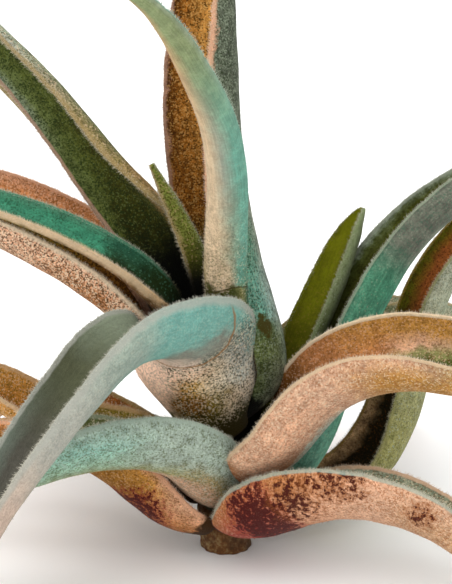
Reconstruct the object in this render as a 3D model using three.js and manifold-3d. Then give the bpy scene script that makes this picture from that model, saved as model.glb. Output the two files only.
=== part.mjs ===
// A fresnilloensis air plant: a rosette of thick, channelled, felted leaves on a short stem.
// Millimetres, +Z up. The origin is the middle of the flat foot that the plant rests on.
// Azimuths are in degrees round +Z: 0 is right, 90 is back, 180 is left and -90 is front.
import * as THREE from "three";
import { mergeVertices } from "three/addons/utils/BufferGeometryUtils.js";
import Module from "manifold-3d";

const wasm = await Module();
wasm.setup();

// Stem dimensions
const STEM_HEIGHT = 50;
const STEM_FOOT_RADIUS = 5.4;
const STEM_TOP_RADIUS = 2.6;
const STEM_LEAN = -0.11; // sideways shift for each millimetre of height, towards the left

// Clearances
const GAP = 0.3; // kept between neighbouring leaves
const ROOT_GAP = 0.35; // kept between a leaf's foot and the stem

// How finely a leaf is made
const STATIONS = 16; // slices along a leaf
const ACROSS = 6; // points across each face of a leaf
const FOOT_CROWDING = 1.25; // slices crowd towards the foot, where the leaf bends most
const CURVE_STEPS = 12; // samples for each span of a leaf's path
const FINE_STEPS = 80; // samples along the smoothed path
const SMOOTHING = 24; // smoothing passes over a leaf's path

// How a leaf's section changes
const RIM_THINNING = 0.35; // how much thinner a leaf is at its rims
const TIP_RADIUS = 0.5; // channel radius left at the very tip
const TIP_THICKNESS = 0.3; // share of the thickness left at the tip
const THINNEST = 0.6;
const USUAL_TURN = 0.45;
const USUAL_SPREAD = [62, 95];
const USUAL_AT = [0.16, 0.4];
const USUAL_BLUNTNESS = 2.4;

// Colours of the felt
const MINT = "#8fb5a4";
const SAGE = "#7f8d74";
const CORAL = "#c98f6c";
const OCHRE = "#a8834a";
const OLIVE = "#6d6a35";
const GREEN = "#66803f";
const ROSE = "#b98070";
const BARK = "#5a3b28";

// The leaves, from the youngest in the heart to the oldest at the base.
// root: height on the stem, and azimuth of the foot
// path: the keel, which is the line down the middle of the outer face
// faces: the way the channel opens, at the share of the length called turn and at the tip
// radius: the channel's radius at the foot, the neck and the blade
// thick: thickness of the foot and the blade
// spread: half angle of the channel at the foot and the blade
// at: shares of the length at which the neck and the blade begin
// bluntness: how late the tip narrows
const LEAVES = [
  {
    name: "leaf_heart",
    color: GREEN,
    root: [46, -10],
    path: [[-3.6, -3.5, 57], [-7.8, -4.5, 68.5], [-14.3, -4, 81.5]],
    faces: [[-0.1, -1, 0], [-0.1, -1, 0]],
    radius: [1.8, 2.6, 2.4],
    thick: [0.9, 1.3],
    spread: [50, 65],
  },
  {
    name: "leaf_upper_left",
    color: OLIVE,
    root: [38, 100],
    path: [[-6, 4, 52], [-11, 4, 64], [-17.5, 5, 73], [-25.2, 8, 82.5], [-33.3, 11, 92.5], [-42, 14, 101],
      [-57, 18, 115], [-75, 22, 129]],
    faces: [[-0.5, -0.75, -0.4], [-0.55, -0.7, -0.4]],
    radius: [3.8, 6.6, 6.4],
    thick: [1.2, 2.4],
    spread: [62, 86],
  },
  {
    name: "leaf_front_upright",
    color: MINT,
    root: [35, -50],
    path: [[2, -6, 45], [0.6, -10.5, 56], [0.2, -15, 70], [0.4, -20.5, 80], [-1.2, -27, 91],
      [-4.5, -35, 99], [-11, -51, 112], [-18, -62, 118]],
    faces: [[0, 1, 0.5], [0.3, 0.6, 1]],
    radius: [3.2, 3.6, 3.2],
    thick: [1.2, 2.0],
  },
  {
    name: "leaf_left_middle",
    color: MINT,
    root: [34, 196],
    path: [[-9.4, -4.5, 48], [-19, -5.5, 60.4], [-28.5, -4.5, 66.6], [-46, 1, 72.2], [-60, 5, 74.4],
      [-86, 10, 75]],
    faces: [[0.3, -0.7, 0.7], [0.2, -0.6, 0.8]],
    radius: [3.4, 4, 2.7],
    thick: [1.2, 2.2],
  },
  {
    name: "leaf_back_upper_left",
    color: SAGE,
    root: [33, 124],
    path: [[-9, 14.5, 46.5], [-14, 23.5, 58], [-22.5, 34, 68], [-36, 44, 77.5], [-53, 51, 93],
      [-70, 57, 104]],
    faces: [[0.4, -0.8, 0.4], [0.3, -0.6, 0.7]],
    radius: [3.6, 4.6, 4.2],
    thick: [1.2, 2.2],
  },
  {
    name: "leaf_left_rear",
    color: CORAL,
    root: [30, 156],
    path: [[-12, 8, 42], [-19, 11, 52.5], [-27, 14.5, 60.8], [-35, 18.5, 65.2], [-48, 23, 70.5],
      [-61.5, 27, 73.5], [-82, 31, 74.5]],
    faces: [[0.4, -0.5, 1], [0.2, -0.5, 1]],
    radius: [4, 5, 4.4],
    thick: [1.3, 2.2],
  },
  {
    name: "leaf_back_upright",
    color: SAGE,
    root: [29, 78],
    path: [[0, 14, 40], [0, 25, 55], [-1, 38, 67], [-2, 56, 72], [-3, 76, 68]],
    faces: [[0, -0.8, 0.6], [0, 0.1, 1]],
    radius: [4, 5.6, 5],
    thick: [1.3, 2.4],
  },
  {
    name: "leaf_left_lower",
    color: CORAL,
    root: [27, 186],
    path: [[-12, 0, 37], [-17, -0.5, 45], [-21, -0.5, 49.6], [-30, 2, 56], [-38, 3, 60.6], [-45.5, 4, 64],
      [-58, 6, 67.4], [-82, 8, 69]],
    faces: [[0.4, -0.05, 1], [0.2, 0.5, 1]],
    radius: [4, 5, 6.2],
    thick: [1.3, 2.2],
    spread: [62, 98],
  },
  {
    name: "leaf_right_short",
    color: OLIVE,
    root: [20, 34],
    path: [[12, 8, 27], [16, 10, 36], [19.8, 11, 45], [23.8, 12.5, 54], [26.8, 14, 62], [28.8, 15.5, 69]],
    faces: [[-0.85, -0.56, 0.3], [-0.9, -0.46, 0.3]],
    radius: [4, 4.3, 3.9],
    thick: [1.2, 2.2],
    bluntness: 9,
  },
  {
    name: "leaf_front_fold",
    color: MINT,
    root: [25, -88],
    path: [[-4.5, -9.5, 35], [-5.5, -14, 44.5], [-10, -20, 49], [-17, -27, 49.5], [-22.5, -34, 46],
      [-27.5, -41, 41.5], [-31.5, -46, 37], [-36, -50, 31.5], [-48, -60, 13], [-56, -66, 0.4]],
    faces: [[-0.3, 0.1, 1], [-0.5, -0.42, 0.8]],
    turn: 0.28,
    radius: [7, 12.4, 7],
    thick: [1.3, 2.6],
    spread: [68, 92],
    at: [0.13, 0.48],
    smoothing: 8,
  },
  {
    name: "leaf_tall",
    color: SAGE,
    root: [27, 5],
    path: [[9.5, 3, 32], [11.5, 5, 39], [8.5, 7, 50], [5, 8, 62], [2.6, 9, 75], [1, 9, 90], [0.6, 9, 99],
      [0, 9, 112], [-0.5, 8, 132]],
    faces: [[-0.93, -0.36, 0], [-0.8, -0.6, 0]],
    turn: 0.4,
    radius: [5, 9.8, 10.2],
    thick: [1.3, 2.4],
    spread: [74, 95],
    bluntness: 5,
  },
  {
    name: "leaf_back_left",
    color: SAGE,
    root: [23, 142],
    path: [[-10, 9.5, 35], [-17, 18, 47], [-27, 28, 54], [-40, 41, 57], [-52, 51, 58], [-68, 60, 56]],
    faces: [[0.5, -0.5, 1], [0.2, -0.2, 1]],
    radius: [4.4, 5.6, 5],
    thick: [1.3, 2.4],
  },
  {
    name: "leaf_back_right",
    color: OLIVE,
    root: [16, 64],
    path: [[9, 18, 27], [16, 26, 33], [25, 34.5, 37], [35, 44, 36.5], [46, 56, 34.5], [58, 66, 31.5],
      [70, 74, 26]],
    faces: [[-0.5, -0.5, 1], [0, 0, 1]],
    radius: [4.4, 5.8, 5.2],
    thick: [1.3, 2.4],
  },
  {
    name: "leaf_back_low",
    color: SAGE,
    root: [18, 115],
    path: [[-7, 12, 26], [-10, 22, 33], [-12, 36, 36], [-11, 52, 33], [-11, 70, 24], [-11, 88, 10]],
    faces: [[0, -0.5, 1], [0, 0.5, 1]],
    radius: [4.6, 6.2, 5.6],
    thick: [1.5, 2.6],
  },
  {
    name: "leaf_right_front",
    color: CORAL,
    root: [16, -22],
    path: [[10.5, -8.5, 20.5], [15.5, -11, 26.5], [20.5, -13, 35], [25.5, -15, 39.8], [33.7, -17, 42.8],
      [42.7, -20, 43.2], [54.7, -24, 42.2], [68.6, -29, 37], [86, -34, 28]],
    faces: [[-0.5, 0, 0.9], [0.1, -0.9, 0.8]],
    turn: 0.22,
    radius: [6, 10.8, 8.4],
    thick: [1.5, 2.8],
    spread: [76, 108],
    at: [0.13, 0.4],
  },
  {
    name: "leaf_low_left",
    color: OCHRE,
    root: [14, 168],
    path: [[-12.5, 6, 19], [-22.6, 8.5, 19], [-34, 11, 19.2], [-42, 12.5, 22.6], [-50, 14, 28],
      [-62.5, 17, 29], [-86, 22, 27]],
    faces: [[0.2, -0.3, 1], [0.1, -0.3, 1]],
    radius: [5, 6.4, 6],
    thick: [1.5, 2.6],
  },
  {
    name: "leaf_back_low_right",
    color: OCHRE,
    root: [12, 75],
    path: [[4, 12, 19], [7, 23, 27], [10, 36, 30], [12, 52, 26], [13, 70, 14], [14, 82, 0.4]],
    faces: [[0, -0.5, 1], [0, 0.5, 1]],
    radius: [5, 6.6, 5.8],
    thick: [1.5, 2.6],
  },
  {
    name: "leaf_low_left_front",
    color: MINT,
    root: [11, -72],
    path: [[-2.5, -12, 17], [-8.5, -15, 23], [-16, -18, 25.8], [-26, -22, 27], [-36, -27, 26],
      [-48, -33, 23], [-60, -39, 16.6], [-74, -46, 6]],
    faces: [[0.2, 0.3, 1], [-0.4, -0.1, 0.9]],
    radius: [6, 9, 8.6],
    thick: [1.5, 2.8],
  },
  {
    name: "leaf_right_middle",
    color: MINT,
    root: [10, 15],
    path: [[12, 3, 11], [18, 4, 17], [22.2, 5, 26], [26.8, 6.5, 38], [31, 8, 49], [36, 9, 58],
      [40.6, 10, 64], [45.2, 11, 68], [58, 13, 77.4], [70, 15, 83], [88, 18, 90]],
    faces: [[-0.85, -0.1, 0.5], [-0.6, 0.35, 0.8]],
    radius: [5, 9, 7.2],
    thick: [1.5, 2.6],
    spread: [76, 104],
  },
  {
    name: "leaf_back_base_left",
    color: CORAL,
    root: [8, 138],
    path: [[-11, 11, 10], [-24, 20, 16], [-38, 31, 19], [-52, 42, 15], [-66, 54, 0.4]],
    faces: [[0.2, -0.3, 1], [-0.2, 0.3, 1]],
    radius: [5.2, 6.4, 5.6],
    thick: [1.6, 2.6],
  },
  {
    name: "leaf_back_base_right",
    color: ROSE,
    root: [8, 66],
    path: [[10, 14.5, 11.5], [18, 23, 18], [26, 36, 20], [34, 50, 18], [42, 64, 10], [48, 74, 0.4]],
    faces: [[-0.2, -0.3, 1], [0.2, 0.3, 1]],
    radius: [5, 6.6, 5.6],
    thick: [1.6, 2.6],
  },
  {
    name: "leaf_right_rear",
    color: SAGE,
    root: [6, 40],
    path: [[16, 9, 5], [26, 13, 5.5], [34.5, 18, 9], [40.5, 22, 17], [43.5, 25, 25], [45.5, 28, 35],
      [49, 31, 47], [56, 34, 58], [67, 37, 69], [82, 40, 79]],
    faces: [[-0.95, -0.1, 0.5], [-0.75, -0.6, 0.3]],
    radius: [5, 7.6, 8],
    thick: [1.6, 2.6],
  },
  {
    name: "leaf_base_right",
    color: ROSE,
    root: [6, -60],
    path: [[6, -12, 8], [12, -16, 12], [22, -21, 17], [33, -26, 17.4], [42, -31, 14.4], [55, -40, 5.5],
      [62, -46, 0.5]],
    faces: [[-0.1, 0.4, 1], [0.2, 0.6, 1]],
    radius: [6.4, 11, 8.5],
    thick: [1.8, 3],
    spread: [66, 92],
  },
  {
    name: "leaf_base_left",
    color: CORAL,
    root: [5, -140],
    path: [[-9.5, -6.5, 6.4], [-16, -7, 11], [-24, -7, 18.4], [-34, -6, 23.2], [-46, -5, 24.5],
      [-58, -4, 22], [-78, -2, 12]],
    faces: [[0.2, 0.3, 1], [0, 0.1, 1]],
    radius: [6.6, 8, 5.6],
    thick: [1.6, 2.8],
  },
];

const radians = THREE.MathUtils.degToRad;

function ease(t) {
  return THREE.MathUtils.smoothstep(t, 0, 1);
}

function mix(a, b, t) {
  return THREE.MathUtils.lerp(a, b, t);
}

function stemCentre(z) {
  return new THREE.Vector3(STEM_LEAN * z, 0, z);
}

function stemRadius(z) {
  return mix(STEM_FOOT_RADIUS, STEM_TOP_RADIUS, ease(z / STEM_HEIGHT));
}

// The points that a leaf's keel passes, from its foot against the stem.
function keelPoints(leaf) {
  const [height, azimuth] = leaf.root;
  const reach = stemRadius(height) + leaf.thick[0] / 2 + ROOT_GAP;
  const outwards = new THREE.Vector3(Math.cos(radians(azimuth)), Math.sin(radians(azimuth)), 0);
  const foot = stemCentre(height).addScaledVector(outwards, reach);
  return [foot, ...leaf.path.map((p) => new THREE.Vector3(...p))];
}

// Points at equal distances along a polyline.
function evenly(points, count) {
  const lengths = [0];
  for (let i = 1; i < points.length; i++) {
    lengths.push(lengths[i - 1] + points[i].distanceTo(points[i - 1]));
  }
  const total = lengths.at(-1);
  const result = [];
  let span = 1;
  for (let i = 0; i <= count; i++) {
    const wanted = (total * i) / count;
    while (span < points.length - 1 && lengths[span] < wanted) span++;
    const share = (wanted - lengths[span - 1]) / (lengths[span] - lengths[span - 1]);
    result.push(points[span - 1].clone().lerp(points[span], share));
  }
  return result;
}

// The keel as a smooth, evenly spaced line.
function keelLine(leaf) {
  const through = keelPoints(leaf);
  const curve = new THREE.CatmullRomCurve3(through, false, "centripetal");
  let line = evenly(curve.getPoints(CURVE_STEPS * (through.length - 1)), FINE_STEPS);
  for (let pass = 0; pass < (leaf.smoothing ?? SMOOTHING); pass++) {
    line = line.map((p, i) => {
      if (i === 0 || i === FINE_STEPS) return p;
      return p.clone().multiplyScalar(2).add(line[i - 1]).add(line[i + 1]).multiplyScalar(0.25);
    });
  }
  return evenly(line, FINE_STEPS);
}

// Point, way along, way across and way of opening at a share u of the keel.
function frameAt(leaf, line, u) {
  const place = u * FINE_STEPS;
  const before = Math.min(Math.floor(place), FINE_STEPS - 1);
  const point = line[before].clone().lerp(line[before + 1], place - before);
  const ahead = line[Math.min(before + 2, FINE_STEPS)];
  const behind = line[Math.max(before - 1, 0)];
  const along = ahead.clone().sub(behind).normalize();
  const azimuth = radians(leaf.root[1]);
  const inwards = new THREE.Vector3(-Math.cos(azimuth), -Math.sin(azimuth), 1).normalize();
  const [middle, end] = leaf.faces.map((f) => new THREE.Vector3(...f).normalize());
  const turn = leaf.turn ?? USUAL_TURN;
  const facing =
    u < turn ? inwards.lerp(middle, ease(u / turn)) : middle.lerp(end, ease((u - turn) / (1 - turn)));
  const open = facing.addScaledVector(along, -facing.dot(along)).normalize();
  const across = new THREE.Vector3().crossVectors(open, along);
  return { point, across, open };
}

// Radius, half angle and thickness of the channel at a share u of the keel.
function sectionAt(leaf, u) {
  const [neckAt, bladeAt] = leaf.at ?? USUAL_AT;
  const [foot, neck, blade] = leaf.radius;
  const [footSpread, bladeSpread] = leaf.spread ?? USUAL_SPREAD;
  const [footThick, bladeThick] = leaf.thick;
  const full =
    u < neckAt
      ? mix(foot, neck, ease(u / neckAt))
      : mix(neck, blade, ease((u - neckAt) / (bladeAt - neckAt)));
  const taper = Math.max(0, 1 - u ** (leaf.bluntness ?? USUAL_BLUNTNESS)) ** 0.9;
  const radius = full * taper + TIP_RADIUS;
  const spread = radians(mix(footSpread, bladeSpread, ease(u / bladeAt)));
  const thinning = TIP_THICKNESS + (1 - TIP_THICKNESS) * (1 - u ** 1.6);
  const thick = mix(footThick, bladeThick, ease(u / neckAt)) * thinning;
  return { radius, spread, thick: Math.max(THINNEST, Math.min(thick, 1.2 * radius)) };
}

// The closed skin of a leaf, or of the same leaf grown all round.
function leafGeometry(leaf, grown = 0) {
  const line = keelLine(leaf);
  const ring = 2 * ACROSS;
  const positions = [];
  const triangles = [];
  for (let i = 0; i <= STATIONS; i++) {
    const u = (i / STATIONS) ** FOOT_CROWDING;
    const { point, across, open } = frameAt(leaf, line, u);
    const { radius, spread, thick } = sectionAt(leaf, u);
    for (let j = 0; j < ring; j++) {
      const outside = j < ACROSS;
      const step = outside ? j : ring - 1 - j;
      const v = -1 + (2 * step) / (ACROSS - 1);
      const angle = v * (spread + grown / radius);
      const half = (thick * (1 - RIM_THINNING * v * v)) / 2 + grown;
      const distance = outside ? radius + half : radius - half;
      positions.push(
        point
          .clone()
          .addScaledVector(across, distance * Math.sin(angle))
          .addScaledVector(open, radius - distance * Math.cos(angle)),
      );
    }
  }
  for (let i = 0; i < STATIONS; i++) {
    for (let j = 0; j < ring; j++) {
      const a = i * ring + j;
      const b = i * ring + ((j + 1) % ring);
      triangles.push(a, b, b + ring, a, b + ring, a + ring);
    }
  }
  const last = STATIONS * ring;
  for (let j = 0; j < ACROSS - 1; j++) {
    const back = ring - 1 - j;
    triangles.push(j, back, back - 1, j, back - 1, j + 1);
    triangles.push(last + j, last + j + 1, last + back - 1, last + j, last + back - 1, last + back);
  }
  const geometry = new THREE.BufferGeometry();
  const coordinates = positions.flatMap((p) => p.toArray());
  geometry.setAttribute("position", new THREE.Float32BufferAttribute(coordinates, 3));
  geometry.setIndex(triangles);
  return geometry;
}

// The stem, or the same stem grown all round: a leaning, tapering core with a flat foot and a rounded top.
function stemGeometry(grown = 0) {
  const profile = [new THREE.Vector2(0, -grown)];
  for (const z of [0, 4, 10, 18, 26, 34, 42, 47]) profile.push(new THREE.Vector2(stemRadius(z) + grown, z));
  profile.push(new THREE.Vector2(STEM_TOP_RADIUS * 0.6 + grown, STEM_HEIGHT - 0.8 + grown));
  profile.push(new THREE.Vector2(0, STEM_HEIGHT + grown));
  const geometry = new THREE.LatheGeometry(profile, 20);
  geometry.rotateX(Math.PI / 2);
  geometry.applyMatrix4(new THREE.Matrix4().makeShear(0, 0, 0, 0, STEM_LEAN, 0));
  return geometry;
}

function solidOf(geometry) {
  const bare = geometry.clone();
  bare.deleteAttribute("normal");
  bare.deleteAttribute("uv");
  const merged = mergeVertices(bare, 1e-4);
  const vertProperties = new Float32Array(merged.attributes.position.array);
  const triVerts = new Uint32Array(merged.index.array);
  return new wasm.Manifold(new wasm.Mesh({ numProp: 3, vertProperties, triVerts }));
}

function geometryOf(solid) {
  const mesh = solid.getMesh();
  const geometry = new THREE.BufferGeometry();
  geometry.setAttribute("position", new THREE.BufferAttribute(mesh.vertProperties, 3));
  geometry.setIndex(new THREE.BufferAttribute(mesh.triVerts, 1));
  return geometry;
}

// The largest body of a solid, without the scraps that a cut leaves.
function mainBody(solid) {
  return solid.decompose().reduce((best, body) => (body.volume() > best.volume() ? body : best));
}

function addPiece(group, name, geometry, color, roughness) {
  const material = new THREE.MeshStandardMaterial({ color, roughness, metalness: 0 });
  geometry.computeVertexNormals();
  const mesh = new THREE.Mesh(geometry, material);
  mesh.name = name;
  group.add(mesh);
}

const plant = new THREE.Group();
addPiece(plant, "stem", geometryOf(solidOf(stemGeometry())), BARK, 0.95);

// An inner leaf gives way where the stem or the sheath of an older leaf presses on it.
const stemRoom = solidOf(stemGeometry(GAP));
LEAVES.forEach((leaf, index) => {
  let solid = solidOf(leafGeometry(leaf));
  const neighbours = LEAVES.slice(index + 1).map((older) => solidOf(leafGeometry(older, GAP)));
  for (const pressing of [stemRoom, ...neighbours]) {
    if (solid.intersect(pressing).volume() > 0) solid = solid.subtract(pressing);
  }
  addPiece(plant, leaf.name, geometryOf(mainBody(solid)), leaf.color, 0.9);
});

export default plant;
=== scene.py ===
import math

import bpy
import numpy as np
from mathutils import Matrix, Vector


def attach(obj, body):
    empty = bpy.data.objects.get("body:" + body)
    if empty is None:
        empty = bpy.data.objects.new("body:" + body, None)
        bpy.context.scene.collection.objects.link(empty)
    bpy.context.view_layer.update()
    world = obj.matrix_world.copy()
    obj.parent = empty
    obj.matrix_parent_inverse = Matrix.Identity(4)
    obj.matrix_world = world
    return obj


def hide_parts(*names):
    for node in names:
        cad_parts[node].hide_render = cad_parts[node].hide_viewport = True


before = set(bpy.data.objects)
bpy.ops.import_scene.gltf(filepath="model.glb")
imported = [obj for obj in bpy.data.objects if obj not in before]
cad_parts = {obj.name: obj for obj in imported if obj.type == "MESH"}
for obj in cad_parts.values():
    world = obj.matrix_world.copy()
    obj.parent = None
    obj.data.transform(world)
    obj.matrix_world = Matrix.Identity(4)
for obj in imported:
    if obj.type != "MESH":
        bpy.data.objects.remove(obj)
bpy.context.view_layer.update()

# Sizes are in millimetres unless a name says otherwise, and become metres when a mesh is made.
MM = 0.001

# Stem, as in the part's source
STEM_HEIGHT = 50
STEM_FOOT_RADIUS = 5.4
STEM_TOP_RADIUS = 2.6
STEM_LEAN = -0.11
ROOT_GAP = 0.35

# Leaf shape, as in the part's source
CURVE_STEPS = 12
FINE_STEPS = 80
SMOOTHING = 24
RIM_THINNING = 0.35
TAPER_POWER = 0.9
THINNING_POWER = 1.6
TIP_RADIUS = 0.5
TIP_THICKNESS = 0.3
THINNEST = 0.6
THICKEST_OF_RADIUS = 1.2
USUAL_TURN = 0.45
USUAL_SPREAD = (62, 95)
USUAL_AT = (0.16, 0.4)
USUAL_BLUNTNESS = 2.4

# How finely a leaf is drawn
STATIONS = 92
ACROSS = 24
RIM_POINTS = 3
FOOT_CROWDING = 1.15
FLOOR_CLEARANCE = 0.03

# Small unevenness of a leaf: height, and how many waves there are along the leaf
RIM_WAVE, RIM_WAVES = 0.3, (3, 5, 9)
RIM_NIBBLE, RIM_NIBBLES = 0.12, (23, 37, 51)
FACE_WAVE, FACE_WAVES = 0.18, (4, 7, 12)
EVEN_FOOT = 0.12
EVEN_TIP = 0.06
EDGE_THINNING = 0.36
EDGE_POWER = 10

# Felt hairs
HAIR_WIDTH = 0.08
HAIR_WIDTH_RANGE = (0.7, 1.25)
HAIR_SINK = 0.06
FACE_HAIR_LENGTH = (0.2, 0.4)
RIM_HAIR_LENGTH = (0.35, 0.8)
FACE_HAIR_LEAN = 1.3
RIM_HAIR_LEAN = 0.8
LEAN_TO_TIP = 0.45
LEAN_SCATTER = 0.35
RIM_BEGINS = 0.9
RIM_BLEND = 0.09
RIM_PROPER = 0.985
BALD_FOOT = 0.1
FACE_HAIRS_PER_MM2 = 1.0
RIM_HAIRS_PER_MM = 24.0
MOST_HAIRS = 9000
BACK_LEAF_HAIRS = 0.45
HAIR_SEED = 20

# Stem's surface
STEM_SIDES = 48
STEM_RINGS = 90
STEM_INSET = 0.12
STEM_RIDGES = 11
RIDGE_HEIGHT = 0.16
RIDGE_TWIST = 0.05
STEM_SCARS = 13
SCAR_DEPTH = 0.22
STEM_FIBRE = 0.035
STEM_RELIEF = (-0.5, 0.1)

# Noise scales for a metre of plant
BARK_SCALE = 900.0
MOTTLE_SCALE = 260.0
WIGGLE_SCALE = 120.0
PATCH_SCALE = 420.0
BLOTCH_SCALE = 900.0
GRAIN_SCALE = 2100.0
CELL_SCALE = 3800.0

# Streaks on an unrolled leaf: noise scale, and size of the leaf in that noise
FIBRE_SCALE = 2.2
STREAK_ALONG = 7.0
STREAK_ACROSS = 9.0
FACES_APART = 5.0

# How far noise moves colours and marks, in shares of the length or of half the width
ROWS_WANDER = 0.05
STOPS_WANDER = 0.22
STOPS_FRAY = 0.3
FOOT_WANDER = 0.06
CREASE_WANDER = 0.006

# Noise and side values between which a pattern changes over
FACE_CHANGE = (0.3, 0.7)
CLOUD_RANGE = (0.7, 1.3)
GRIT_RANGE = (0.36, 0.64)

# Strength of the patterns
CLOUD_LEVEL = 0.97
CLOUD_SWING = 0.2
GRIT = 0.24
DARK_SCALES = 0.62
PALE_SCALES = 0.5
SCALES_ON_HAIR = 0.3
CALM_SCALES = 0.12
SMOOTH_GRAIN = 0.25
RIM_COVER = 0.75
TUFT_COVER = 0.4
BLOTCH_COVER = 0.94
HALO_COVER = 0.7
CREASE_COVER = 0.7
FOOT_COVER = 0.985

# Surface of the felt: shine, and relief of the fibres and of the creases
FELT_SHINE = 0.08
FIBRE_RELIEF = 0.8
CREASE_DEPTH = 1.2

# Scales: how far noise moves the random number of each, and the share of them in full colour
LOT_WANDER = 0.35
FULL_SCALES = 0.3

# Blotches, by the square of the distance from their middle, and by how much of one is there
BLOTCH_FADE = 2.4
BLOTCH_END = (1.8, 2.6)
BLOTCH_FRAY = 2.6
BLOTCH_CRUMBS = 0.1
BLOTCH_RANGE = (0.5, 0.6)
HALO_RANGE = (0.2, 0.6)

# Felt of the rims, in widths of it, and the share of the length over which it begins
RIM_OUTLINE = 1.5
RIM_FULL = 0.35
RIM_FRAY = 1.2
TUFT_OUTLINE = 2.0
RIM_START = 0.08

# Painted shade of the creases and of the foot, in shares of the length, of the crease and of the foot
CREASE_WIDTH = 0.0028
CREASE_CORE = 0.00084
CREASE_ENDS = (0.8, 1.1)
FOOT_FULL = 0.6

# Colours seen on the plant
MINT = "88B2A3"
MINT_SAGE = "8CA98F"
SEA = "669A88"
SEA_GREEN = "4A7C62"
TEAL = "387A5E"
DEEP_TEAL = "2C5E48"
SAGE = "85907A"
PALE_SAGE = "98A698"
GREY_SAGE = "A3A592"
OLIVE_SAGE = "8C8A56"
NEAR_WALL = "84958A"
SHADE = "6C766A"
PALE_SHADE = "7C8074"
CHANNEL = "4C4F3A"
DIM_CHANNEL = "4A4840"
TALL_GREY = "5E6054"
DARK_GREY = "545A4A"
PALE_GREY = "9FA096"
WALL_GREEN = "5A6438"
MOSS = "4A5222"
BRIGHT_OLIVE = "6A6C0A"
OLIVE = "54530C"
DEEP_OLIVE = "3A3206"
OLIVE_TAN = "806C2A"
OLIVE_HAZE = "7E8A62"
BLACK_OLIVE = "141204"
GROOVE = "40400E"
DEEP_GROOVE = "2A2A04"
BLACK_GREEN = "1D2C0F"
# Painted shade, nearly black, deep in the crown where the feet of the leaves meet
CROWN_SHADE = "020301"
WHITE_FUZZ = "E2DDCE"
CREAM = "DDCBAE"
CREAM_TAN = "C6AE8E"
TAN = "BC9A70"
DULL_TAN = "948054"
WARM_TAN = "A88464"
GOLD = "C9A05C"
DULL_GOLD = "A8874E"
GOLD_BROWN = "8A5E22"
OCHRE = "BA8640"
DEEP_OCHRE = "A87A3C"
BRONZE = "8E5A1E"
BROWN = "643C10"
DEEP_BROWN = "321E04"
RUST = "8A4E22"
CORAL = "B67848"
SALMON = "D0A080"
PEACH = "D9B294"
# The sheath's own peach pink with a painted highlight added, where light falls on its left side
LIT_SHEATH_PINK = "F2CCB2"
DULL_ROSE = "A88470"
BLOTCH_RED = "92322C"
BLOTCH = "3A0C0A"
YOUNG_GREEN = "6A7030"
WARM_SAGE = "8E9484"
BLUE_GREY = "93A09A"
PALE_SILVER = "C4C8BC"
CREST_MINT = "6C9E93"
WALL_MINT = "7C9C84"
PALE_PINK = "C9B4A2"
DULL_PINK = "B8A292"
WARM_SALMON = "BC9478"

# Looks that a leaf has when its own say nothing else
USUAL_DARK = (GROOVE, GROOVE, 0.3)
USUAL_PALE = (CREAM, CREAM, 0.2)
USUAL_RIMS = ((DULL_TAN, 0.05), (DULL_TAN, 0.05))
USUAL_TIPS = (0.3, 0.15)
USUAL_FOOT = (CROWN_SHADE, 0.3)

# Camera: the photograph's viewing angle
CAMERA_HEIGHT_DEGREES = 15.0
CAMERA_DISTANCE = 260.0
CAMERA_TARGET = (0.0, 0.0, 55.0)
CAMERA_LENS = 80.1
CAMERA_SENSOR = 36.0

# Setting
FLOOR_REACH = 6000
FLOOR_WHITE = (0.97, 0.97, 0.968, 1.0)
HORIZON_LIGHT = 0.8
OVERHEAD_LIGHT = 1.45
SUN_LIGHT = 1.2
SUN_FROM = (-0.4, -0.5, 1.2)
SUN_SPREAD = 50
FILL_LIGHT = 0.4
FILL_FROM = (-1.2, -0.7, 0.5)
FILL_SPREAD = 80

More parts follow.
